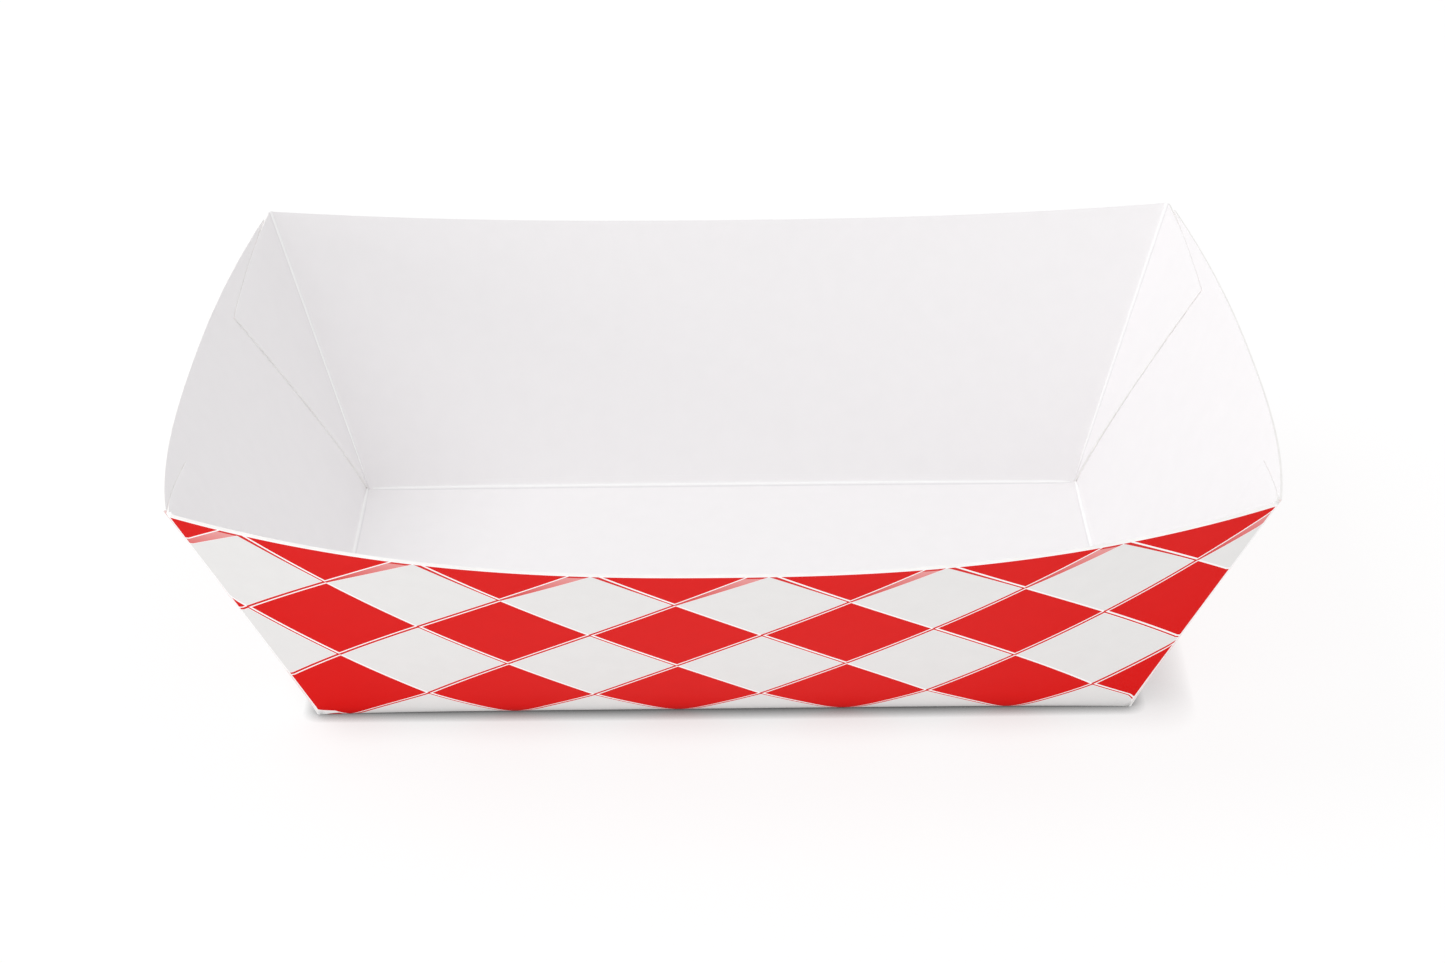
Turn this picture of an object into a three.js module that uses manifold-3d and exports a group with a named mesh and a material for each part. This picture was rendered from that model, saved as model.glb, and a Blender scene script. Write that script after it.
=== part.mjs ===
// Paper food tray: one die-cut blank of board, folded up at the floor and glued at its four corners.
// Millimetres, +Z up. The origin is the middle of the floor's underside, +X runs along the long walls.
//
// The long walls carry a glue tab at each end. Each tab folds round the corner and lies against the
// inside of the end wall. Every wall leans out, bows between its corners and dips at its rim.
import * as THREE from "three";
import Module from "manifold-3d";

// Floor, between the fold lines
const FLOOR_LENGTH = 146;
const FLOOR_WIDTH = 87;

// Mouth, between the corner folds at the rim
const MOUTH_LENGTH = 184.5;
const MOUTH_WIDTH = 131.5;
const CORNER_HEIGHT = 53;

// Board
const BOARD = 0.45;
const GLUE_BITE = 0.03; // how deep a tab is pressed into the end wall that it is glued to

// Rims: how far the middle stands out past the corners and lies below them
const LONG_RIM_BOW = 10;
const LONG_RIM_DIP = 7.1;
const END_RIM_BOW = 6.3;
const END_RIM_DIP = 4.1;
const RIM_CURVE_POWER = 2.4;

// Folds: distance from the fold line to where the board is flat again
const LONG_FLOOR_FOLD = 3;
const END_FLOOR_FOLD = 1.8;
const CORNER_FOLD = 1;
const CORNER_FOLD_CRUSH = 0.2; // share of the corner's height over which its fold is squeezed sharp
const FOLD_TIGHTNESS = 2.5; // how strongly a fold is drawn to its line; 1 would be a parabola

// Glue tabs and the ends of the end walls: the tabs on the left are cut a little longer
const LEFT_TAB_REACH = 33.9; // from the corner along the mouth's width to the tip of the tab
const LEFT_TAB_DROP = 5.1; // from the rim down to the tip of the tab
const RIGHT_TAB_REACH = 28;
const RIGHT_TAB_DROP = 4.1;
const END_WALL_SETBACK = 2.8; // from the corner fold to the end wall's cut edge, at the rim

// Facets
const LONG_COLUMNS = 28;
const END_COLUMNS = 20;
const WALL_ROWS = 8;
const FOLD_ROWS = 4;
const CORNER_COLUMNS = 4;
const TAB_COLUMNS = 6;

const BOARD_FINISH = { color: "#e9e7e5", roughness: 0.55, metalness: 0 };

const UP = new THREE.Vector3(0, 0, 1);
const { lerp } = THREE.MathUtils;

// A wall is ruled from its straight floor fold to its bowed rim. Places on it are t, from -1 to 1
// along the wall, and v, from 0 at the floor fold to 1 at the rim. This is the face that the glue
// tabs share with the wall that they are glued to, and the outer face of a wall that has tabs.
class Wall {
  constructor({ floorHalf, mouthHalf, floorOut, mouthOut, bow, dip, place }) {
    Object.assign(this, { floorHalf, mouthHalf, floorOut, mouthOut, bow, dip, place });
  }

  at(t, v) {
    const middle = 1 - Math.abs(t) ** RIM_CURVE_POWER;
    return this.place(
      t * lerp(this.floorHalf, this.mouthHalf, v),
      lerp(this.floorOut, this.mouthOut + this.bow * middle, v),
      v * (CORNER_HEIGHT - this.dip * middle),
    );
  }

  // Unit normal, pointing into the tray
  normal(t, v) {
    const middle = 1 - Math.abs(t) ** RIM_CURVE_POWER;
    const middleSlope = -Math.sign(t) * RIM_CURVE_POWER * Math.abs(t) ** (RIM_CURVE_POWER - 1);
    const along = new THREE.Vector3(
      lerp(this.floorHalf, this.mouthHalf, v),
      v * this.bow * middleSlope,
      -v * this.dip * middleSlope,
    );
    const upwards = new THREE.Vector3(
      t * (this.mouthHalf - this.floorHalf),
      this.mouthOut + this.bow * middle - this.floorOut,
      CORNER_HEIGHT - this.dip * middle,
    );
    const inwards = along.cross(upwards).normalize();
    return this.place(inwards.x, inwards.y, inwards.z);
  }

  inset(t, v, depth) {
    return this.at(t, v).addScaledVector(this.normal(t, v), depth);
  }

  halfLength(v) {
    return lerp(this.floorHalf, this.mouthHalf, v);
  }

  slant(t) {
    return this.at(t, 1).distanceTo(this.at(t, 0));
  }
}

function longWall(side) {
  return new Wall({
    floorHalf: FLOOR_LENGTH / 2,
    mouthHalf: MOUTH_LENGTH / 2,
    floorOut: FLOOR_WIDTH / 2,
    mouthOut: MOUTH_WIDTH / 2,
    bow: LONG_RIM_BOW,
    dip: LONG_RIM_DIP,
    place: (along, out, up) => new THREE.Vector3(along, side * out, up),
  });
}

function endWall(side) {
  return new Wall({
    floorHalf: FLOOR_WIDTH / 2,
    mouthHalf: MOUTH_WIDTH / 2,
    floorOut: FLOOR_LENGTH / 2,
    mouthOut: MOUTH_LENGTH / 2,
    bow: END_RIM_BOW,
    dip: END_RIM_DIP,
    place: (along, out, up) => new THREE.Vector3(side * out, along, up),
  });
}

// A sheet of board: triangles between spots, each of which has a point on the outer face and one on
// the inner face. Patches that meet share their spots, and the open edges are closed as cut edges.
class Sheet {
  constructor() {
    this.spots = [];
    this.numbers = new Map();
    this.triangles = [];
  }

  spot({ outer, inner }) {
    const key = [...outer, ...inner].map((value) => Math.round(value * 1e5)).join();
    if (!this.numbers.has(key)) {
      this.numbers.set(key, this.spots.length);
      this.spots.push({ outer, inner });
    }
    return this.numbers.get(key);
  }

  // Lays a grid of spots, place(row share, column share), over one panel or fold
  patch(rows, columns, place) {
    const grid = [];
    for (let row = 0; row <= rows; row++) {
      grid.push([]);
      for (let column = 0; column <= columns; column++) {
        grid[row].push(this.spot(place(row / rows, column / columns)));
      }
    }
    for (let row = 0; row < rows; row++) {
      for (let column = 0; column < columns; column++) {
        const [a, b] = [grid[row][column], grid[row][column + 1]];
        const [d, c] = [grid[row + 1][column], grid[row + 1][column + 1]];
        this.triangle(a, b, c);
        this.triangle(a, c, d);
      }
    }
  }

  // Adds a triangle turned so that it faces from the inner face to the outer one
  triangle(a, b, c) {
    if (a === b || b === c || c === a) return;
    const [pa, pb, pc] = [a, b, c].map((number) => this.spots[number].outer);
    const facing = pb.clone().sub(pa).cross(pc.clone().sub(pa));
    const outwards = pa.clone().sub(this.spots[a].inner);
    this.triangles.push(facing.dot(outwards) > 0 ? [a, b, c] : [a, c, b]);
  }

  comesFirst(one, other) {
    const [a, b] = [this.spots[one].outer, this.spots[other].outer];
    return (a.y - b.y || a.x - b.x || a.z - b.z) < 0;
  }

  solid(wasm) {
    const count = this.spots.length;
    const corners = [];
    const borders = new Map();
    for (const [a, b, c] of this.triangles) {
      corners.push(a, b, c, a + count, c + count, b + count);
      for (const [from, to] of [[a, b], [b, c], [c, a]]) {
        if (!borders.delete(`${to},${from}`)) borders.set(`${from},${to}`, [from, to]);
      }
    }
    // Two sheets that meet at a cut edge split it along the same diagonals
    for (const [from, to] of borders.values()) {
      if (this.comesFirst(from, to)) corners.push(to, from, to + count, from, from + count, to + count);
      else corners.push(to, from, from + count, to, from + count, to + count);
    }
    const faces = [...this.spots.map((s) => s.outer), ...this.spots.map((s) => s.inner)];
    const vertProperties = new Float32Array(faces.flatMap((point) => [...point]));
    return new wasm.Manifold(
      new wasm.Mesh({ numProp: 3, vertProperties, triVerts: new Uint32Array(corners) }),
    );
  }
}

// A fold runs from one panel to the next on a conic curve that is drawn towards the fold line
function foldCurve(start, line, end, share) {
  const weights = [(1 - share) ** 2, 2 * FOLD_TIGHTNESS * share * (1 - share), share ** 2];
  const sum = weights[0] + weights[1] + weights[2];
  const point = start.clone().multiplyScalar(weights[0]);
  point.addScaledVector(line, weights[1]).addScaledVector(end, weights[2]);
  return point.divideScalar(sum);
}

function foldSpot(outer, inner, share) {
  return {
    outer: foldCurve(...outer, share),
    inner: foldCurve(...inner, share),
  };
}

// From a fold line on the outer face to the same fold line on the inner face
function mitre(line, normalA, normalB) {
  const between = normalA.clone().add(normalB).divideScalar(1 + normalA.dot(normalB));
  return line.clone().addScaledVector(between, BOARD);
}

// A fold is widest in the middle of its panel, and at its ends no tighter than the board is thick
function foldWidth(widest, t) {
  return lerp(BOARD, Math.max(widest, BOARD), 1 - t ** 4);
}

// The floor's corner, where the floor, a long wall and a glue tab meet in one point of each face
function floorCorner(long, end, alongSide, acrossSide) {
  const outer = long.at(alongSide, 0);
  const normals = [UP, long.normal(alongSide, 0), end.normal(acrossSide, 0)];
  const planes = new THREE.Matrix3().set(...normals.flatMap((normal) => [...normal]));
  const offset = new THREE.Vector3(BOARD, BOARD, BOARD).applyMatrix3(planes.invert());
  return { outer, inner: outer.clone().add(offset) };
}

// The end walls lie outside the glue tabs, so their floor folds lie further out than the tabs' feet
const END_WALL_OUTSIDE = BOARD - GLUE_BITE;

function endFold(end, t) {
  const normal = end.normal(t, 0);
  const side = Math.sign(-normal.x);
  const stepOut = END_WALL_OUTSIDE / Math.abs(normal.x);
  const width = lerp(stepOut, Math.max(END_FLOOR_FOLD, stepOut), 1 - t ** 4);
  const line = end.at(t, 0);
  line.x += side * stepOut;
  const start = line.clone();
  start.x -= side * width;
  const climb = width + stepOut * normal.z;
  return { line, start, normal, from: climb / end.slant(t) };
}

const wasm = await Module();
wasm.setup();

const longWalls = new Map([-1, 1].map((side) => [side, longWall(side)]));
const endWalls = new Map([-1, 1].map((side) => [side, endWall(side)]));

// Floor: its edges are where its folds begin, so they curve in towards the middle of each side
function layFloor(sheet) {
  const [long, end] = [longWalls.get(1), endWalls.get(1)];
  sheet.patch(END_COLUMNS, LONG_COLUMNS, (across, along) => {
    const [s, t] = [2 * across - 1, 2 * along - 1];
    if (Math.abs(s) === 1 && Math.abs(t) === 1) {
      return floorCorner(longWalls.get(s), endWalls.get(t), t, s);
    }
    const reach = Math.abs(s) === 1 ? end.floorOut : endFold(end, s).start.x;
    const breadth = Math.abs(t) === 1 ? long.floorOut : long.floorOut - foldWidth(LONG_FLOOR_FOLD, t);
    const outer = new THREE.Vector3(t * reach, s * breadth, 0);
    return { outer, inner: outer.clone().addScaledVector(UP, BOARD) };
  });
}

function cornerWidth(v) {
  return lerp(BOARD, Math.max(CORNER_FOLD, BOARD), Math.min(1, v / CORNER_FOLD_CRUSH));
}

// Where the flat of a wall begins beside its corner fold, as t for the height v
function flatEdge(wall, v) {
  return 1 - cornerWidth(v) / wall.halfLength(v);
}

function boardSpot(wall, t, v) {
  return { outer: wall.at(t, v), inner: wall.inset(t, v, BOARD) };
}

// Long wall: the rolled floor fold, then the flat of the wall up to its rim
function layLongWall(sheet, side) {
  const wall = longWalls.get(side);
  const corner = (t) => floorCorner(wall, endWalls.get(t), t, side);
  const flatFrom = (t) => foldWidth(LONG_FLOOR_FOLD, t) / wall.slant(t);

  sheet.patch(FOLD_ROWS, LONG_COLUMNS, (share, along) => {
    const t = 2 * along - 1;
    if (Math.abs(t) === 1) return corner(t);
    const line = wall.at(t, 0);
    const start = line.clone();
    start.y -= side * foldWidth(LONG_FLOOR_FOLD, t);
    const end = boardSpot(wall, t, flatFrom(t));
    return foldSpot(
      [start, line, end.outer],
      [start.clone().addScaledVector(UP, BOARD), mitre(line, UP, wall.normal(t, 0)), end.inner],
      share,
    );
  });

  sheet.patch(WALL_ROWS, LONG_COLUMNS, (share, along) => {
    const t = 2 * along - 1;
    if (Math.abs(t) < 1) {
      const v = lerp(flatFrom(t), 1, share);
      return boardSpot(wall, share ? t * flatEdge(wall, v) : t, v);
    }
    return share ? boardSpot(wall, t * flatEdge(wall, share), share) : corner(t);
  });
}

// The tip of a glue tab: how far along the end wall it lies, and at which height v
function tabTip(end, alongSide) {
  const reach = alongSide < 0 ? LEFT_TAB_REACH : RIGHT_TAB_REACH;
  const drop = alongSide < 0 ? LEFT_TAB_DROP : RIGHT_TAB_DROP;
  const v = 1 - drop / end.slant(0);
  return { along: (1 - reach / (MOUTH_WIDTH / 2)) * end.halfLength(v), v };
}

// Corner: the fold from the long wall, then the glue tab on the inside of the end wall. The tab's
// lower edge is cut straight from its tip to the floor's corner.
function layCorner(sheet, alongSide, acrossSide) {
  const long = longWalls.get(acrossSide);
  const end = endWalls.get(alongSide);
  const foot = floorCorner(long, end, alongSide, acrossSide);

  sheet.patch(WALL_ROWS, CORNER_COLUMNS, (v, share) => {
    if (!v) return foot;
    const from = boardSpot(long, alongSide * flatEdge(long, v), v);
    const to = boardSpot(end, acrossSide * flatEdge(end, v), v);
    const line = long.at(alongSide, v);
    const inside = mitre(line, long.normal(alongSide, v), end.normal(acrossSide, v));
    return foldSpot([from.outer, line, to.outer], [from.inner, inside, to.inner], share);
  });

  const tip = tabTip(end, alongSide);
  sheet.patch(WALL_ROWS, TAB_COLUMNS, (row, share) => {
    if (!row) return foot;
    const atFold = flatEdge(end, row) * end.halfLength(row);
    const along = lerp(atFold, lerp(end.floorHalf, tip.along, row), share);
    const v = lerp(row, tip.v * row, share);
    return boardSpot(end, (acrossSide * along) / end.halfLength(v), v);
  });
}

// End wall: the floor fold, then the wall outside the glue tabs, with its cut ends set back
function layEndWall(sheet, side) {
  const wall = endWalls.get(side);
  const spotAt = (t, v) => {
    const setBack = 1 - (END_WALL_SETBACK * Math.sqrt(v)) / wall.halfLength(v);
    return {
      outer: wall.inset(t * setBack, v, -END_WALL_OUTSIDE),
      inner: wall.inset(t * setBack, v, GLUE_BITE),
    };
  };

  sheet.patch(FOLD_ROWS, END_COLUMNS, (share, across) => {
    const t = 2 * across - 1;
    const { line, start, normal, from } = endFold(wall, t);
    const end = spotAt(t, from);
    const raised = start.clone().addScaledVector(UP, BOARD);
    if (!share && Math.abs(t) === 1) return floorCorner(longWalls.get(t), wall, side, t);
    return foldSpot(
      [start, line, end.outer],
      [raised, mitre(line, UP, normal), end.inner],
      share,
    );
  });

  sheet.patch(WALL_ROWS, END_COLUMNS, (share, across) => {
    const t = 2 * across - 1;
    return spotAt(t, lerp(endFold(wall, t).from, 1, share));
  });
}

const floorAndLongWalls = new Sheet();
layFloor(floorAndLongWalls);
for (const acrossSide of [-1, 1]) {
  layLongWall(floorAndLongWalls, acrossSide);
  for (const alongSide of [-1, 1]) layCorner(floorAndLongWalls, alongSide, acrossSide);
}

let tray = floorAndLongWalls.solid(wasm);
for (const side of [-1, 1]) {
  const endSheet = new Sheet();
  layEndWall(endSheet, side);
  tray = tray.add(endSheet.solid(wasm));
}

const { numProp, vertProperties, triVerts } = tray.getMesh();
const geometry = new THREE.BufferGeometry();
geometry.setAttribute("position", new THREE.BufferAttribute(vertProperties, numProp));
geometry.setIndex(new THREE.BufferAttribute(triVerts, 1));
geometry.computeVertexNormals();

const foldedTray = new THREE.Mesh(geometry, new THREE.MeshStandardMaterial(BOARD_FINISH));
foldedTray.name = "folded_tray";

const group = new THREE.Group();
group.add(foldedTray);

export default group;
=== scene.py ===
"""Paper food tray: one folded and glued blank of printed board, standing on a pale floor."""

import logging
import math
from dataclasses import dataclass, replace
from enum import Enum
from typing import Callable

import bmesh
import bpy
from mathutils import Matrix, Vector


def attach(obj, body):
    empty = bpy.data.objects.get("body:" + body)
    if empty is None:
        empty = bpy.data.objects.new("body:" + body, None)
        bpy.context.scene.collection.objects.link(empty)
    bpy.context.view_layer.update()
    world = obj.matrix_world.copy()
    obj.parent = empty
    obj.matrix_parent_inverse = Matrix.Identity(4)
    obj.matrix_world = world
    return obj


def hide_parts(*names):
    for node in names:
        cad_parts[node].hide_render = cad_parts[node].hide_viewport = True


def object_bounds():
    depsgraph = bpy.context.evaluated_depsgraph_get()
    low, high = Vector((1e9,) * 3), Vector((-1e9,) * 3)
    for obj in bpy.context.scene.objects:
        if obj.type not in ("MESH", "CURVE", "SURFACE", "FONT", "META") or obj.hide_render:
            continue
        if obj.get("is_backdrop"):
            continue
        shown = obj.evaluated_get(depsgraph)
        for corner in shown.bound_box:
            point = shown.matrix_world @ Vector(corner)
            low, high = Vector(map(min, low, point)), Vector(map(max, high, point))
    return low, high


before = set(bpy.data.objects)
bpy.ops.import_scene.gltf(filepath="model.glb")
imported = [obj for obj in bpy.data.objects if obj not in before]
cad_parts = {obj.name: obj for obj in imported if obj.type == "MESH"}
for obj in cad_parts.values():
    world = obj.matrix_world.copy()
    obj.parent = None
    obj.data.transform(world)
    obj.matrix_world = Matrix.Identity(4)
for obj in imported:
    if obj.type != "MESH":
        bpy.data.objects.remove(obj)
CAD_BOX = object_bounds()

LOG = logging.getLogger("food_tray")

MM = 0.001
UP = Vector((0.0, 0.0, 1.0))


def mix(start: float, end: float, share: float) -> float:
    """Gives the value that lies a share of the way from start to end."""
    return start + (end - start) * share


def is_end(t: float) -> bool:
    """Says whether a place along a wall is one of its two ends."""
    return abs(t) > 0.99999


def linear(sheet_colour: str) -> tuple[float, float, float, float]:
    """Turns an sRGB hex colour into a linear one.

    Args:
        sheet_colour: The colour as #RRGGBB.

    Returns:
        Red, green, blue and an alpha of 1, in linear light.
    """
    parts = [int(sheet_colour[i : i + 2], 16) / 255 for i in (1, 3, 5)]
    return (*[c / 12.92 if c <= 0.04045 else ((c + 0.055) / 1.055) ** 2.4 for c in parts], 1.0)


@dataclass(frozen=True)
class TraySizes:
    """The tray's driving sizes, in metres, the same as the construction's."""

    floor_length: float = 146 * MM
    floor_width: float = 87 * MM
    mouth_length: float = 184.5 * MM
    mouth_width: float = 131.5 * MM
    corner_height: float = 53 * MM
    board: float = 0.45 * MM
    long_rim_bow: float = 10 * MM
    long_rim_dip: float = 7.1 * MM
    end_rim_bow: float = 6.3 * MM
    end_rim_dip: float = 4.1 * MM
    rim_curve_power: float = 2.4
    long_floor_fold: float = 3 * MM
    end_floor_fold: float = 1.8 * MM
    corner_fold: float = 1 * MM
    corner_fold_crush: float = 0.2
    left_tab_reach: float = 33.9 * MM
    left_tab_drop: float = 5.1 * MM
    right_tab_reach: float = 28 * MM
    right_tab_drop: float = 4.1 * MM
    end_wall_setback: float = 2.8 * MM
    fold_tightness: float = 2.5


class Run(Enum):
    """Which way a wall runs."""

    LONG = "along X"
    END = "along Y"


class Wall:
    """A wall ruled from its straight floor fold to its bowed rim.

    Places on it are t, from -1 to 1 along the wall, and v, from 0 at the floor fold to 1 at the rim.
    """

    def __init__(self, sizes: TraySizes, run: Run, side: int) -> None:
        """Takes its sizes from the tray's.

        Args:
            sizes: The tray's driving sizes.
            run: Whether this is a long wall or an end wall.
            side: -1 or 1, the side of the tray that it stands on.
        """
        half = (sizes.floor_length / 2, sizes.mouth_length / 2)
        out = (sizes.floor_width / 2, sizes.mouth_width / 2)
        if run is Run.END:
            half, out = out, half
        self.run, self.side = run, side
        self.floor_half, self.mouth_half = half
        self.floor_out, self.mouth_out = out
        self.bow = sizes.long_rim_bow if run is Run.LONG else sizes.end_rim_bow
        self.dip = sizes.long_rim_dip if run is Run.LONG else sizes.end_rim_dip
        self.height = sizes.corner_height
        self.power = sizes.rim_curve_power
        rim = [self.at(i / 32, 1) for i in range(33)]
        self.mouth_flat = sum((b - a).length for a, b in zip(rim, rim[1:]))

    def place(self, along: float, out: float, up: float) -> Vector:
        """Turns the wall's own directions into the tray's."""
        if self.run is Run.LONG:
            return Vector((along, self.side * out, up))
        return Vector((self.side * out, along, up))

    def at(self, t: float, v: float) -> Vector:
        """Gives the point of the wall at t and v."""
        middle = 1 - abs(t) ** self.power
        return self.place(
            t * mix(self.floor_half, self.mouth_half, v),
            mix(self.floor_out, self.mouth_out + self.bow * middle, v),
            v * (self.height - self.dip * middle),
        )

    def normal(self, t: float, v: float) -> Vector:
        """Gives the unit normal at t and v, pointing into the tray."""
        middle = 1 - abs(t) ** self.power
        slope = -math.copysign(self.power * abs(t) ** (self.power - 1), t)
        along = Vector((mix(self.floor_half, self.mouth_half, v), v * self.bow * slope, -v * self.dip * slope))
        upwards = Vector(
            (
                t * (self.mouth_half - self.floor_half),
                self.mouth_out + self.bow * middle - self.floor_out,
                self.height - self.dip * middle,
            )
        )
        return self.place(*along.cross(upwards).normalized())

    def half_length(self, v: float) -> float:
        """Gives half the wall's length at the height v."""
        return mix(self.floor_half, self.mouth_half, v)

    def slant(self, t: float) -> float:
        """Gives the length of the wall from its floor fold to its rim, at t."""
        return (self.at(t, 1) - self.at(t, 0)).length

    def below_rim(self, t: float, v: float) -> float:
        """Gives how far below the rim the place at t and v lies, on the board."""
        return (1 - v) * self.slant(t)

    def unfolded(self, t: float, v: float) -> tuple[float, float]:
        """Gives the place of t and v on the flat wall, along it and up from its floor fold."""
        spread = (self.mouth_flat - self.floor_half) * t
        rise = math.sqrt(self.slant(t) ** 2 - spread**2)
        return (self.floor_half * t + spread * v, rise * v)

    def on_blank(self, t: float, v: float) -> Vector:
        """Gives the place of t and v on the flat blank, whose middle is the floor's."""
        along, up = self.unfolded(t, v)
        flat = self.place(along, self.floor_out + up, 0.0)
        return flat.xy


@dataclass(frozen=True)
class Spot:
    """A spot of the folded board.

    It knows its point on each face, its place on the flat blank, how far below the rim it lies, how
    far the ink has cracked, and how far it lies from a fold line, counted towards the side that gets the painted crease
    shade.
    """

    outer: Vector
    inner: Vector
    blank: Vector
    from_rim: float = 1.0
    cracked: float = 0.0
    from_fold: float = 9 * MM


def drawn_to(start: Vector, line: Vector, end: Vector, share: float, tightness: float) -> Vector:
    """Gives a point of the conic curve that runs from start to end and is drawn towards the line."""
    weights = ((1 - share) ** 2, 2 * tightness * share * (1 - share), share**2)
    return (start * weights[0] + line * weights[1] + end * weights[2]) / sum(weights)


@dataclass
class FoldedBoard:
    """The blank, folded up and glued: floor, long walls with their tabs, and end walls."""

    sizes: TraySizes
    long_columns: int = 120
    end_columns: int = 84
    wall_rows: int = 30
    fold_rows: int = 16
    corner_columns: int = 16
    tab_columns: int = 20
    crease_height: float = 0.3 * MM
    crease_width: float = 0.5 * MM
    pressed_edge: float = 0.16 * MM
    pressed_top: float = 0.3 * MM
    pressed_from: float = 0.25
    glue_gap: float = 0.02 * MM
    weld: float = 0.001 * MM
    sliver: float = 0.0001 * MM
    sharp_from: float = math.radians(50)

    def __post_init__(self) -> None:
        """Makes the four walls."""
        self.long_walls = {side: Wall(self.sizes, Run.LONG, side) for side in (-1, 1)}
        self.end_walls = {side: Wall(self.sizes, Run.END, side) for side in (-1, 1)}
        self.outside = self.sizes.board + self.glue_gap

    def fold_spot(
        self,
        start: Spot,
        line: Vector,
        end: Spot,
        share: float,
        normals: tuple[Vector, Vector],
        ink_cracks: bool = False,
    ) -> Spot:
        """Gives a spot of a fold, where the creasing has raised a narrow bead on the inside.

        Args:
            start: Where the first panel ends.
            line: The point of the fold line between the two, on the outer face.
            end: Where the second panel begins.
            share: How far across the fold the spot lies, from 0 to 1.
            normals: The inward normals of the two panels.
            ink_cracks: Whether the print has cracked along the fold line.

        Returns:
            The spot.
        """
        if share in (0, 1):
            return end if share else start
        tightness = self.sizes.fold_tightness
        between = sum(normals, Vector()) / (1 + normals[0].dot(normals[1]))
        middle = (start.blank + end.blank) / 2
        blank = drawn_to(start.blank, middle, end.blank, share, tightness)
        aside = (blank - middle).length
        bead = math.exp(-((aside / self.crease_width) ** 2))
        # The painted crease shade lies on the tab's side of a corner fold, and on the floor's side of a floor fold.
        towards_painted_shade = (share > 0.5) is ink_cracks
        inner = drawn_to(start.inner, line + between * self.sizes.board, end.inner, share, tightness)
        return Spot(
            drawn_to(start.outer, line, end.outer, share, tightness),
            inner + between.normalized() * self.crease_height * bead,
            blank,
            mix(start.from_rim, end.from_rim, share),
            bead if ink_cracks else 0.0,
            aside if towards_painted_shade else -aside,
        )

    def flat_spot(self, point: Vector) -> Spot:
        """Gives the spot of the floor whose outer face is at the point."""
        return Spot(point, point + UP * self.sizes.board, point.xy)

    def fold_width(self, widest: float, t: float) -> float:
        """Gives a floor fold's half width, widest in the middle of its wall."""
        least = self.sizes.board
        return mix(least, max(widest, least), 1 - t**4)

    def corner_width(self, v: float) -> float:
        """Gives the corner fold's half width, squeezed sharp towards the floor."""
        least = self.sizes.board
        return mix(least, max(self.sizes.corner_fold, least), min(1.0, v / self.sizes.corner_fold_crush))

    def flat_edge(self, wall: Wall, v: float) -> float:
        """Gives the t at which a wall's flat begins beside its corner fold."""
        return 1 - self.corner_width(v) / wall.half_length(v)

    def floor_corner(self, along_side: int, across_side: int) -> Spot:
        """Gives the corner of the floor, where floor, long wall and glue tab meet in one point of each face."""
        outer = self.long_walls[across_side].at(along_side, 0)
        long = self.long_walls[across_side].normal(along_side, 0)
        end = self.end_walls[along_side].normal(across_side, 0)
        inwards = Matrix((UP, long, end)).inverted() @ Vector((self.sizes.board,) * 3)
        return Spot(outer, outer + inwards, outer.xy)

    def end_fold(self, wall: Wall, t: float) -> tuple[Spot, Vector, float]:
        """Gives an end wall's floor fold at t.

        Args:
            wall: The end wall.
            t: The place along it.

        Returns:
            The spot where the floor ends, the point of the fold line, and the v where the wall is flat.
        """
        normal = wall.normal(t, 0)
        step = self.outside / abs(normal.x)
        width = mix(step, max(self.sizes.end_floor_fold, step), 1 - t**4)
        line = wall.at(t, 0) + Vector((wall.side * step, 0.0, 0.0))
        start = line - Vector((wall.side * width, 0.0, 0.0))
        return self.flat_spot(start), line, (width + step * normal.z) / wall.slant(t)

    def lay(self, board: bmesh.types.BMesh, rows: int, columns: int, place: Callable[[float, float], Spot]) -> None:
        """Lays a grid of the board and folds it to its place.

        Args:
            board: The mesh that the grid joins.
            rows: How many faces it has across the panel or fold.
            columns: How many faces it has along it.
            place: Gives the spot for a row's share and a column's share, each from 0 to 1.
        """
        layers = board.loops.layers.uv
        names = ("flat_blank", "rim_margin", "crease")
        blank, margin, crease = (layers.get(name) or layers.new(name) for name in names)
        inside = board.verts.layers.float_vector.get("inside") or board.verts.layers.float_vector.new("inside")
        made = bmesh.ops.create_grid(board, x_segments=columns, y_segments=rows, size=0.5)
        spots = {}
        for vert in made["verts"]:
            share = [min(1.0, max(0.0, round(value + 0.5, 6))) for value in vert.co.xy]
            spots[vert] = place(share[1], share[0])
        for face in {face for vert in spots for face in vert.link_faces}:
            for loop in face.loops:
                loop[blank].uv = spots[loop.vert].blank / MM
                loop[margin].uv = (spots[loop.vert].from_rim / MM, spots[loop.vert].cracked)
                loop[crease].uv = (spots[loop.vert].from_fold / MM, 0.0)
        for vert, spot in spots.items():
            vert.co = spot.outer
            vert[inside] = spot.inner

    def lay_floor(self, board: bmesh.types.BMesh) -> None:
        """Lays the floor, whose edges are where its folds begin."""
        long, end = self.long_walls[1], self.end_walls[1]

        def place(across: float, along: float) -> Spot:
            """Gives a spot of the floor."""
            s, t = 2 * across - 1, 2 * along - 1
            if is_end(s) and is_end(t):
                return self.floor_corner(round(t), round(s))
            reach = end.floor_out if is_end(s) else self.end_fold(end, s)[0].outer.x
            breadth = long.floor_out
            if not is_end(t):
                breadth -= self.fold_width(self.sizes.long_floor_fold, t)
            return self.flat_spot(Vector((t * reach, s * breadth, 0.0)))

        self.lay(board, self.end_columns, self.long_columns, place)

    def wall_spot(self, wall: Wall, t: float, v: float) -> Spot:
        """Gives a spot of a long wall, whose outer face is the wall's own surface."""
        outer = wall.at(t, v)
        return Spot(outer, outer + wall.normal(t, v) * self.sizes.board, wall.on_blank(t, v), wall.below_rim(t, v))

    def lay_long_wall(self, board: bmesh.types.BMesh, side: int) -> None:
        """Lays a long wall: its rolled floor fold, then its flat up to the rim."""
        wall = self.long_walls[side]

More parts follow.
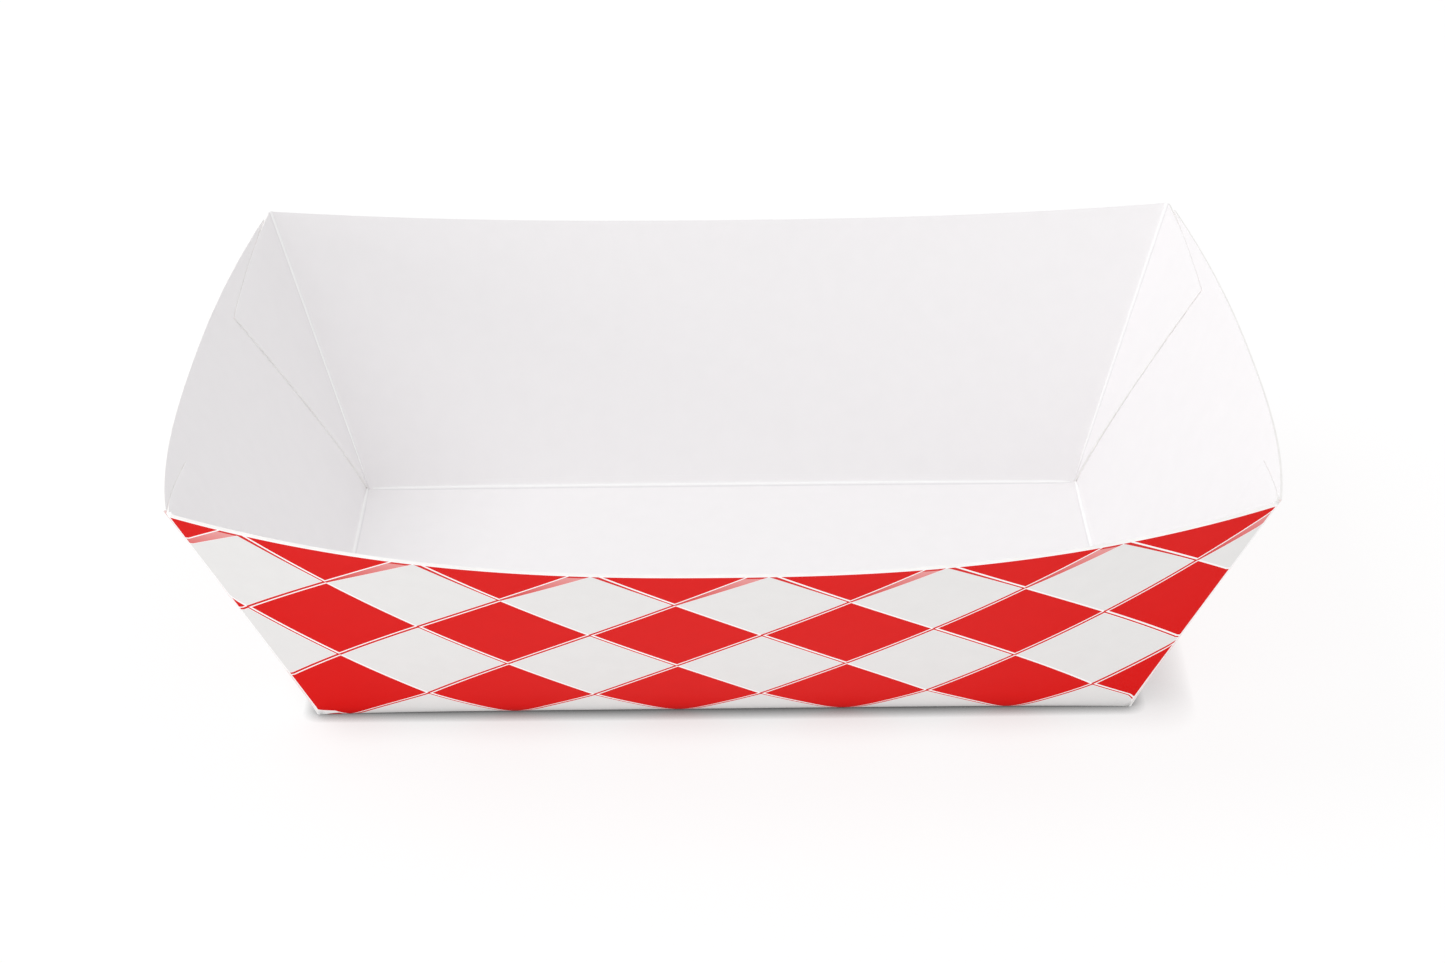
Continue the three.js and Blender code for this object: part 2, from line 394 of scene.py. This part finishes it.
        def flat_from(t: float) -> float:
            """Gives the v where the wall is flat."""
            return self.fold_width(self.sizes.long_floor_fold, t) / wall.slant(t)

        def place_fold(share: float, along: float) -> Spot:
            """Gives a spot of the floor fold."""
            t = 2 * along - 1
            if is_end(t):
                return self.floor_corner(round(t), side)
            start = wall.at(t, 0)
            start.y -= side * self.fold_width(self.sizes.long_floor_fold, t)
            end = self.wall_spot(wall, t, flat_from(t))
            return self.fold_spot(self.flat_spot(start), wall.at(t, 0), end, share, (UP, wall.normal(t, 0)))

        def place_wall(share: float, along: float) -> Spot:
            """Gives a spot of the flat above the fold."""
            t = 2 * along - 1
            if is_end(t) and share == 0:
                return self.floor_corner(round(t), side)
            v = share if is_end(t) else mix(flat_from(t), 1, share)
            if share:
                t *= self.flat_edge(wall, v)
            return self.wall_spot(wall, t, v)

        self.lay(board, self.fold_rows, self.long_columns, place_fold)
        self.lay(board, self.wall_rows, self.long_columns, place_wall)

    def tab_tip(self, wall: Wall) -> tuple[float, float]:
        """Gives the tip of an end wall's glue tabs: how far along the wall it lies, and its v."""
        left = wall.side < 0
        reach = self.sizes.left_tab_reach if left else self.sizes.right_tab_reach
        drop = self.sizes.left_tab_drop if left else self.sizes.right_tab_drop
        v = 1 - drop / wall.slant(0)
        return (1 - reach / (self.sizes.mouth_width / 2)) * wall.half_length(v), v

    def tab_on_blank(self, along_side: int, across_side: int, t: float, v: float) -> Vector:
        """Gives where a spot of a glue tab lies on the blank, beyond its long wall's corner fold.

        Args:
            along_side: The end of the tray that the tab is at.
            across_side: The long wall that it belongs to.
            t: The place along the end wall that it lies on, from 0 to 1.
            v: The height there.

        Returns:
            The place on the blank.
        """
        long, end = self.long_walls[1], self.end_walls[1]
        fold_long = Vector(long.unfolded(1, 1)) - Vector((long.floor_half, 0.0))
        fold_end = Vector(end.unfolded(1, 1)) - Vector((end.floor_half, 0.0))
        spot = Vector(end.unfolded(t, v)) - Vector((end.floor_half, 0.0))
        turn = math.atan2(spot.y, spot.x) - math.atan2(fold_end.y, fold_end.x) if spot.length else 0.0
        angle = math.atan2(fold_long.y, fold_long.x) - turn
        along = long.floor_half + spot.length * math.cos(angle)
        across = long.floor_out + spot.length * math.sin(angle)
        return Vector((along_side * along, across_side * across))

    def lay_corner(self, board: bmesh.types.BMesh, along_side: int, across_side: int) -> None:
        """Lays a corner: the fold from the long wall, then the glue tab inside the end wall."""
        long, end = self.long_walls[across_side], self.end_walls[along_side]
        foot = self.floor_corner(along_side, across_side)

        def tab_spot(t: float, v: float, thickness: float) -> Spot:
            """Gives a spot of the tab, which lies against the end wall's own surface."""
            outer = end.at(across_side * t, v)
            inner = outer + end.normal(across_side * t, v) * thickness
            return Spot(outer, inner, self.tab_on_blank(along_side, across_side, t, v))

        def place_fold(v: float, share: float) -> Spot:
            """Gives a spot of the corner fold."""
            if v == 0:
                return foot
            start = self.wall_spot(long, along_side * self.flat_edge(long, v), v)
            finish = tab_spot(self.flat_edge(end, v), v, self.sizes.board)
            finish = replace(finish, from_rim=start.from_rim)
            normals = (long.normal(along_side, v), end.normal(across_side, v))
            return self.fold_spot(start, long.at(along_side, v), finish, share, normals, ink_cracks=True)

        tip_along, tip_v = self.tab_tip(end)

        def place_tab(row: float, share: float) -> Spot:
            """Gives a spot of the tab, thinner at its pressed edges."""
            if row == 0:
                return foot
            at_fold = self.flat_edge(end, row) * end.half_length(row)
            v = mix(row, tip_v * row, share)
            t = mix(at_fold, mix(end.floor_half, tip_along, row), share) / end.half_length(v)
            pressed = self.pressed_edge if is_end(share) else 0.0
            if is_end(row):
                pressed = max(pressed, self.pressed_top * min(1.0, share / self.pressed_from))
            return tab_spot(t, v, self.sizes.board - pressed)

        self.lay(board, self.wall_rows, self.corner_columns, place_fold)
        self.lay(board, self.wall_rows, self.tab_columns, place_tab)

    def lay_end_wall(self, board: bmesh.types.BMesh, side: int) -> None:
        """Lays an end wall outside its tabs: its floor fold, then the wall with its ends set back."""
        wall = self.end_walls[side]

        def spot_at(t: float, v: float) -> Spot:
            """Gives a spot of the end wall, one board outside its tabs."""
            inset = t * (1 - self.sizes.end_wall_setback * math.sqrt(v) / wall.half_length(v))
            inwards = wall.normal(inset, v)
            outer = wall.at(inset, v) - inwards * self.outside
            return Spot(outer, outer + inwards * self.sizes.board, wall.on_blank(inset, v), wall.below_rim(inset, v))

        def place_fold(share: float, across: float) -> Spot:
            """Gives a spot of the floor fold."""
            t = 2 * across - 1
            start, line, flat_from = self.end_fold(wall, t)
            if is_end(t) and share == 0:
                return self.floor_corner(side, round(t))
            return self.fold_spot(start, line, spot_at(t, flat_from), share, (UP, wall.normal(t, 0)))

        def place_wall(share: float, across: float) -> Spot:
            """Gives a spot of the flat above the fold."""
            t = 2 * across - 1
            return spot_at(t, mix(self.end_fold(wall, t)[2], 1, share))

        self.lay(board, self.fold_rows, self.end_columns, place_fold)
        self.lay(board, self.wall_rows, self.end_columns, place_wall)

    def build(self) -> bpy.types.Object:
        """Folds the whole blank and gives it the board's thickness.

        Returns:
            The finished board, with material slots for the print, the plain inside and the cut edge.
        """
        board = bmesh.new()
        self.lay_floor(board)
        for across_side in (-1, 1):
            self.lay_long_wall(board, across_side)
            for along_side in (-1, 1):
                self.lay_corner(board, along_side, across_side)
        for side in (-1, 1):
            self.lay_end_wall(board, side)
        bmesh.ops.remove_doubles(board, verts=board.verts, dist=self.weld)
        bmesh.ops.dissolve_degenerate(board, edges=board.edges, dist=self.sliver)
        bmesh.ops.recalc_face_normals(board, faces=board.faces)
        lowest = min(board.faces, key=lambda face: face.calc_center_median().z)
        if lowest.normal.z > 0:
            bmesh.ops.reverse_faces(board, faces=board.faces)
        self.thicken(board)
        mesh = bpy.data.meshes.new("tray_board")
        board.to_mesh(mesh)
        board.free()
        mesh.attributes.remove(mesh.attributes["inside"])
        mesh.set_sharp_from_angle(angle=self.sharp_from)
        piece = bpy.data.objects.new("tray_board", mesh)
        bpy.context.scene.collection.objects.link(piece)
        return piece

    def thicken(self, board: bmesh.types.BMesh) -> None:
        """Pushes the inner face out of the folded outer one, which closes the cut edges as well.

        Args:
            board: The folded sheet, whose vertices know their points on the inner face.
        """
        inside = board.verts.layers.float_vector["inside"]
        sheet = len(board.faces)
        made = bmesh.ops.extrude_face_region(board, geom=list(board.faces), use_keep_orig=True)
        inner = {item for item in made["geom"] if isinstance(item, bmesh.types.BMVert)}
        for vert in inner:
            vert.co = vert[inside]
        for face in board.faces:
            face.smooth = True
            of_inner = sum(vert in inner for vert in face.verts)
            face.material_index = 1 if of_inner == len(face.verts) else 2 if of_inner else 0
        bmesh.ops.recalc_face_normals(board, faces=board.faces)
        LOG.info("sheet of %d faces thickened to %d", sheet, len(board.faces))


def add_node(tree: bpy.types.NodeTree, kind: str, settings: dict, links: dict) -> bpy.types.Node:
    """Adds a node to a material.

    Args:
        tree: The material's node tree.
        kind: The node's type.
        settings: Its own settings, by name.
        links: What each of its inputs takes, by name or number: another node's output or a value.

    Returns:
        The node.
    """
    node = tree.nodes.new(kind)
    for name, value in settings.items():
        setattr(node, name, value)
    for name, value in links.items():
        if isinstance(value, bpy.types.NodeSocket):
            tree.links.new(value, node.inputs[name])
        else:
            node.inputs[name].default_value = value
    return node


@dataclass(frozen=True)
class DiamondPrint:
    """The printed check: red and light grey diamonds with white gaps and thin red lines between them.

    Its lengths are millimetres on the flat blank.
    """

    width: float = 29.7
    height: float = 24.9
    centre_x: float = -8.3
    centre_y: float = -1.5
    rim_margin: float = 0.4
    gap: float = 0.2
    ruled_gap: float = 0.45
    rule: float = 0.32
    band_gap: float = 0.42
    band: float = 0.32
    wedge_from: float = 88.7
    wedge_over: float = 12.0
    wedge_width: float = 2.0
    wedge_paleness: float = 0.8
    rule_swell: float = 0.6
    rule_overlap: float = 0.03
    rim_strip: float = 1.0
    cracked_from: float = 0.7
    drawn_from: float = 51.2
    drawn_most: float = 43.5
    drawn_until: float = 20.0
    drawn_power: float = 1.3
    floor_end: float = 73.0
    corner_fade: float = 4.0
    drawn_down: float = 4.0
    red: str = "#DE100D"
    grey: str = "#EAE9E8"
    white: str = "#FFFFFF"
    line: str = "#DA2B28"
    wedge: str = "#F3BDBC"


@dataclass(frozen=True)
class BoardFinish:
    """One face of the board.

    Solid bleached board is a dense white paper, calendered and coated: even and matt, with a faint
    cloudiness from its fibres and a soft sheen at a low angle.
    """

    name: str
    colour: str
    roughness: float
    gloss: float
    fibre_depth: float
    cloud: float
    # Painted highlight: the strip over the crease bead is tinted whiter. Painted shade: a strip beside it is tinted
    # greyer, in place of the shade of a hollow that the geometry lacks.
    bead: str = "#FFFFFF"
    painted_highlight_half: float = 0.42
    painted_crease_shade: str = "#EDEBED"
    painted_shade_at: float = 0.62
    painted_shade_half: float = 0.24
    clouds_per_metre: float = 260.0
    fibres_per_metre: float = 1800.0
    fibre_strength: float = 0.35
    refraction: float = 1.45

    def material(self, pattern: DiamondPrint | None = None) -> bpy.types.Material:
        """Builds the finish.

        Args:
            pattern: The print on this face, if it has one.

        Returns:
            The material.
        """
        made = bpy.data.materials.new(self.name)
        made.use_nodes = True
        tree = made.node_tree
        tree.nodes.clear()
        output = add_node(tree, "ShaderNodeOutputMaterial", {}, {})
        where = add_node(tree, "ShaderNodeTexCoord", {}, {}).outputs["Object"]
        clouds = add_node(
            tree, "ShaderNodeTexNoise", {}, {"Vector": where, "Scale": self.clouds_per_metre, "Detail": 4.0}
        )
        tone = add_node(
            tree,
            "ShaderNodeMapRange",
            {},
            {"Value": clouds.outputs["Fac"], "From Min": 0.3, "From Max": 0.7, "To Min": 1 - self.cloud, "To Max": 1.0},
        )
        base = self.painted_crease_light(tree) if pattern is None else self.printed(tree, pattern)
        colour = add_node(
            tree,
            "ShaderNodeMix",
            {"data_type": "RGBA", "blend_type": "MULTIPLY"},
            {0: 1.0, 6: base, 7: tone.outputs["Result"]},
        )
        fibres = add_node(
            tree, "ShaderNodeTexNoise", {}, {"Vector": where, "Scale": self.fibres_per_metre, "Detail": 3.0}
        )
        bump = add_node(
            tree,
            "ShaderNodeBump",
            {},
            {"Strength": self.fibre_strength, "Distance": self.fibre_depth, "Height": fibres.outputs["Fac"]},
        )
        shader = add_node(
            tree,
            "ShaderNodeBsdfPrincipled",
            {},
            {
                "Base Color": colour.outputs[2],
                "Roughness": self.roughness,
                "IOR": self.refraction,
                "Specular IOR Level": self.gloss,
                "Normal": bump.outputs["Normal"],
            },
        )
        tree.links.new(shader.outputs["BSDF"], output.inputs["Surface"])
        return made

    def painted_crease_light(self, tree: bpy.types.NodeTree) -> bpy.types.NodeSocket:
        """Paints light and shade into the bare board's colour at its creases: a painted highlight on the bead, and a
        painted shade in a strip beside it.

        Args:
            tree: The material's node tree.

        Returns:
            The colour output.
        """
        crease = add_node(tree, "ShaderNodeUVMap", {"uv_map": "crease"}, {})
        aside = add_node(tree, "ShaderNodeSeparateXYZ", {}, {0: crease.outputs["UV"]}).outputs["X"]
        colour = linear(self.colour)
        # Painted shade on the strip beside each crease, then a painted highlight on the bead; each is a tint of the
        # board's colour.
        for middle, half, ink in ((self.painted_shade_at, self.painted_shade_half, self.painted_crease_shade), (0.0, self.painted_highlight_half, self.bead)):
            beyond = add_node(tree, "ShaderNodeMath", {"operation": "SUBTRACT"}, {0: aside, 1: middle})
            off = add_node(tree, "ShaderNodeMath", {"operation": "ABSOLUTE"}, {0: beyond.outputs[0]})
            share = add_node(
                tree, "ShaderNodeMapRange", {}, {"Value": off.outputs[0], "From Min": half, "From Max": half / 2}
            )
            tinted = add_node(
                tree, "ShaderNodeMix", {"data_type": "RGBA"}, {0: share.outputs["Result"], 6: colour, 7: linear(ink)}
            )
            colour = tinted.outputs[2]
        return colour

    def printed(self, tree: bpy.types.NodeTree, pattern: DiamondPrint) -> bpy.types.NodeSocket:
        """Draws the diamond check on the flat blank, whose millimetres are the piece's UV map.

        Args:
            tree: The material's node tree.
            pattern: The print's sizes and inks.

        Returns:
            The colour output.
        """

        def maths(operation: str, a: object, b: object = 0.0) -> bpy.types.NodeSocket:
            """Works out one value from two."""
            return add_node(tree, "ShaderNodeMath", {"operation": operation}, {0: a, 1: b}).outputs[0]

        blank = add_node(tree, "ShaderNodeUVMap", {"uv_map": "flat_blank"}, {})
        margin = add_node(tree, "ShaderNodeUVMap", {"uv_map": "rim_margin"}, {})
        edge = add_node(tree, "ShaderNodeSeparateXYZ", {}, {0: margin.outputs["UV"]}).outputs
        bare = maths(
            "MAXIMUM",
            maths("LESS_THAN", edge["X"], pattern.rim_margin),
            maths("GREATER_THAN", edge["Y"], pattern.cracked_from),
        )
        parts = add_node(tree, "ShaderNodeSeparateXYZ", {}, {0: blank.outputs["UV"]})
        across = maths("DIVIDE", maths("SUBTRACT", parts.outputs["X"], pattern.centre_x), pattern.width)
        reach = maths("ABSOLUTE", parts.outputs["Y"])

        def ramp(value: bpy.types.NodeSocket, start: float, end: float) -> bpy.types.NodeSocket:
            """Rises from 0 at the start to 1 at the end."""
            return add_node(
                tree, "ShaderNodeMapRange", {}, {"Value": value, "From Min": start, "From Max": end}
            ).outputs["Result"]

        drawn = maths("POWER", ramp(reach, pattern.drawn_from, pattern.drawn_most), pattern.drawn_power)
        drawn = maths("MULTIPLY", drawn, ramp(reach, pattern.drawn_until, pattern.drawn_most))
        past_corner = maths("SUBTRACT", reach, maths("ABSOLUTE", parts.outputs["X"]))
        corner = pattern.drawn_most - pattern.floor_end
        drawn = maths("MULTIPLY", drawn, ramp(past_corner, corner, corner + pattern.corner_fade))
        shift = maths("MULTIPLY", maths("MULTIPLY", drawn, pattern.drawn_down), maths("SIGN", parts.outputs["Y"]))
        lengthways = maths("SUBTRACT", parts.outputs["Y"], shift)
        down = maths("DIVIDE", maths("SUBTRACT", lengthways, pattern.centre_y), pattern.height)
        falling = maths("SUBTRACT", across, down)
        rising = maths("ADD", across, down)
        step = pattern.width * pattern.height / math.hypot(pattern.width, pattern.height)
        edges, sides, cells = [], [], []
        for slope in (falling, rising):
            cell = maths("ROUND", slope)
            side = maths("SUBTRACT", slope, cell)
            cells.append(cell)
            sides.append(side)
            edges.append(maths("MULTIPLY", maths("SUBTRACT", 0.5, maths("ABSOLUTE", side)), step))
        odd = maths("ABSOLUTE", maths("MODULO", maths("ADD", *cells), 2.0))
        is_red = maths("LESS_THAN", odd, 0.5)
        sign = maths("SUBTRACT", maths("MULTIPLY", is_red, 2.0), 1.0)
        from_falling, from_rising = (maths("MULTIPLY", edge, sign) for edge in edges)
        ruled = maths("ABSOLUTE", maths("SUBTRACT", is_red, maths("GREATER_THAN", sides[0], 0.0)))
        to_rim = maths("DIVIDE", maths("SUBTRACT", reach, pattern.wedge_from), pattern.wedge_over)
        near_rim = add_node(tree, "ShaderNodeClamp", {}, {"Value": to_rim}).outputs[0]
        wedge = maths("MULTIPLY", near_rim, pattern.wedge_width)

        def within(distance: bpy.types.NodeSocket, low: object, high: object) -> bpy.types.NodeSocket:
            """Is 1 where the distance lies between low and high."""
            return maths("MULTIPLY", maths("GREATER_THAN", distance, low), maths("LESS_THAN", distance, high))

        gap_falling = maths("ADD", maths("MULTIPLY", ruled, pattern.ruled_gap - pattern.gap), pattern.gap)
        top_strip = maths("LESS_THAN", edge["X"], pattern.rim_strip)
        gap_rising = maths("ADD", wedge, pattern.band_gap)
        in_red = maths(
            "MULTIPLY",
            maths("GREATER_THAN", from_falling, gap_falling),
            maths("GREATER_THAN", from_rising, pattern.band_gap),
        )
        in_grey = maths(
            "MULTIPLY",
            maths("LESS_THAN", from_falling, maths("MULTIPLY", gap_falling, -1.0)),
            maths("LESS_THAN", from_rising, maths("MULTIPLY", gap_rising, -1.0)),
        )
        rule_width = maths("ADD", maths("MULTIPLY", maths("POWER", near_rim, 2.0), pattern.rule_swell), pattern.rule)
        beside_falling = within(from_falling, maths("MULTIPLY", rule_width, -1.0), pattern.rule_overlap)
        rule = maths("MULTIPLY", beside_falling, ruled)
        band = within(from_rising, maths("SUBTRACT", -pattern.band, wedge), pattern.band / 2)
        paleness = maths("MULTIPLY", near_rim, pattern.wedge_paleness)
        paleness = maths("MULTIPLY", paleness, maths("SUBTRACT", 1.0, top_strip))
        band_ink = add_node(
            tree,
            "ShaderNodeMix",
            {"data_type": "RGBA"},
            {0: paleness, 6: linear(pattern.line), 7: linear(pattern.wedge)},
        )
        colour = linear(pattern.white)
        for mask, ink in (
            (in_grey, linear(pattern.grey)),
            (in_red, linear(pattern.red)),
            (band, band_ink.outputs[2]),
            (rule, linear(pattern.line)),
            (bare, linear(pattern.white)),
        ):
            lined = add_node(tree, "ShaderNodeMix", {"data_type": "RGBA"}, {0: mask, 6: colour, 7: ink})
            colour = lined.outputs[2]
        return lined.outputs[2]


@dataclass(frozen=True)
class PhotoCamera:
    """The camera where the photograph's was, solved from the tray's corners and rims."""

    eye: tuple[float, float, float] = (-0.905 * MM, -504.118 * MM, 287.301 * MM)
    yaw: float = -0.002
    pitch: float = math.radians(27.58)
    roll: float = -0.009
    focal_pixels: float = 2995.8
    image_width: float = 1445.0

    def build(self) -> bpy.types.Object:
        """Makes the camera and sets it as the scene's."""
        data = bpy.data.cameras.new("photo_camera")
        data.sensor_width = 36.0
        data.sensor_fit = "HORIZONTAL"
        data.lens = 36.0 * self.focal_pixels / self.image_width
        data.clip_start = 0.01
        ahead = math.cos(self.pitch)
        forward = Vector((-math.sin(self.yaw) * ahead, math.cos(self.yaw) * ahead, -math.sin(self.pitch)))
        level = Vector((math.cos(self.yaw), math.sin(self.yaw), 0.0))
        upright = level.cross(forward)
        right = level * math.cos(self.roll) + upright * math.sin(self.roll)
        up = upright * math.cos(self.roll) - level * math.sin(self.roll)
        camera = bpy.data.objects.new("photo_camera", data)
        camera.matrix_world = Matrix.Translation(self.eye) @ Matrix((right, up, -forward)).transposed().to_4x4()
        bpy.context.scene.collection.objects.link(camera)
        bpy.context.scene.camera = camera
        return camera


@dataclass(frozen=True)
class Studio:
    """A white table under a big soft light from the upper left.

    The table glows, so that it stays white and takes little red from the tray. Its shadow is painted
    into the glow, which is held back close to the tray, and to its right, where the tray hides the light.
    """

    table_half: float = 3.0
    table_drop: float = 0.02 * MM
    table_glow: float = 0.86
    contact_reach: float = 2.6 * MM
    shade_reach: float = 11 * MM
    shade_from: tuple[float, float, float] = (-0.8, -0.5, 0.33)
    shade_share: float = 0.6
    key: float = 4.3
    key_size: float = 0.7
    key_place: tuple[float, float, float] = (-0.8, 0.1, 1.1)
    fill: float = 2.2
    fill_size: float = 0.5
    fill_place: tuple[float, float, float] = (-1.1, -0.75, 0.14)
    aim: tuple[float, float, float] = (0.0, 0.0, 0.02)
    sky: float = 0.8

    def table(self) -> None:
        """Lays the pale floor."""
        mesh = bpy.data.meshes.new("studio_table")
        plane = bmesh.new()
        bmesh.ops.create_grid(plane, x_segments=1, y_segments=1, size=self.table_half)
        bmesh.ops.translate(plane, verts=plane.verts, vec=(0.0, 0.0, -self.table_drop))
        plane.to_mesh(mesh)
        plane.free()
        table = bpy.data.objects.new("studio_table", mesh)
        bpy.context.scene.collection.objects.link(table)
        paint = bpy.data.materials.new("matt white table")
        paint.use_nodes = True
        shader = paint.node_tree.nodes["Principled BSDF"]
        shader.inputs["Base Color"].default_value = linear("#6C6C6C")
        shader.inputs["Roughness"].default_value = 0.9
        shader.inputs["Specular IOR Level"].default_value = 0.1
        shader.inputs["Emission Color"].default_value = linear("#FFFFFF")
        # Painted shadow: a short occlusion close to the tray and a longer one tilted towards the upper left dim the
        # table's glow.
        near = add_node(paint.node_tree, "ShaderNodeAmbientOcclusion", {"samples": 8}, {"Distance": self.contact_reach})
        from_left = add_node(paint.node_tree, "ShaderNodeCombineXYZ", {}, dict(zip("XYZ", self.shade_from)))
        shade = add_node(
            paint.node_tree,
            "ShaderNodeAmbientOcclusion",
            {"samples": 12},
            {"Distance": self.shade_reach, "Normal": from_left.outputs["Vector"]},
        )
        darkest = self.table_glow * (1 - self.shade_share)
        soft = add_node(
            paint.node_tree,
            "ShaderNodeMapRange",
            {},
            {"Value": shade.outputs["AO"], "To Min": darkest, "To Max": self.table_glow},
        )
        glow = add_node(
            paint.node_tree,
            "ShaderNodeMath",
            {"operation": "MULTIPLY"},
            {0: near.outputs["AO"], 1: soft.outputs["Result"]},
        )
        paint.node_tree.links.new(glow.outputs[0], shader.inputs["Emission Strength"])
        mesh.materials.append(paint)
        table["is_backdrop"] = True

    def light(self, name: str, power: float, size: float, place: tuple[float, float, float]) -> None:
        """Hangs one square soft light that faces the tray."""
        data = bpy.data.lights.new(name, "AREA")
        data.energy = power
        data.size = size
        lamp = bpy.data.objects.new(name, data)
        lamp.location = place
        lamp.rotation_euler = (Vector(self.aim) - Vector(place)).to_track_quat("-Z", "Y").to_euler()
        bpy.context.scene.collection.objects.link(lamp)

    def build(self) -> None:
        """Sets the table, the lights and the bright surroundings."""
        self.table()
        self.light("key_light", self.key, self.key_size, self.key_place)
        self.light("fill_light", self.fill, self.fill_size, self.fill_place)
        world = bpy.data.worlds.new("white studio")
        world.use_nodes = True
        world.node_tree.nodes["Background"].inputs["Color"].default_value = linear("#FFFFFF")
        world.node_tree.nodes["Background"].inputs["Strength"].default_value = self.sky
        bpy.context.scene.world = world
        bpy.context.scene.view_settings.view_transform = "Standard"


def main() -> None:
    """Builds the camera, the studio and the tray, and reports each piece."""
    logging.basicConfig(level=logging.INFO, format="%(name)s: %(message)s")
    PhotoCamera().build()
    Studio().build()
    piece = FoldedBoard(TraySizes()).build()
    # Smooth coated ink outside, duller bare board inside, and rough white fibres at the cut edges.
    for finish, pattern in (
        (BoardFinish("coated board, printed", "#FFFFFF", 0.45, 0.05, 0.01 * MM, 0.02), DiamondPrint()),
        (BoardFinish("bleached board, uncoated inside", "#F7F5F6", 0.6, 0.35, 0.02 * MM, 0.012), None),
        (BoardFinish("bleached board, cut edge", "#FFFEFC", 0.8, 0.3, 0.05 * MM, 0.08), None),
    ):
        piece.data.materials.append(finish.material(pattern))
    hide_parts("folded_tray")
    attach(piece, "root")
    LOG.info("%s: %d faces", piece.name, len(piece.data.polygons))
    [[list(map(float, corner)) for corner in box] for box in (CAD_BOX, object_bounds())]


if __name__ == "__main__":
    main()
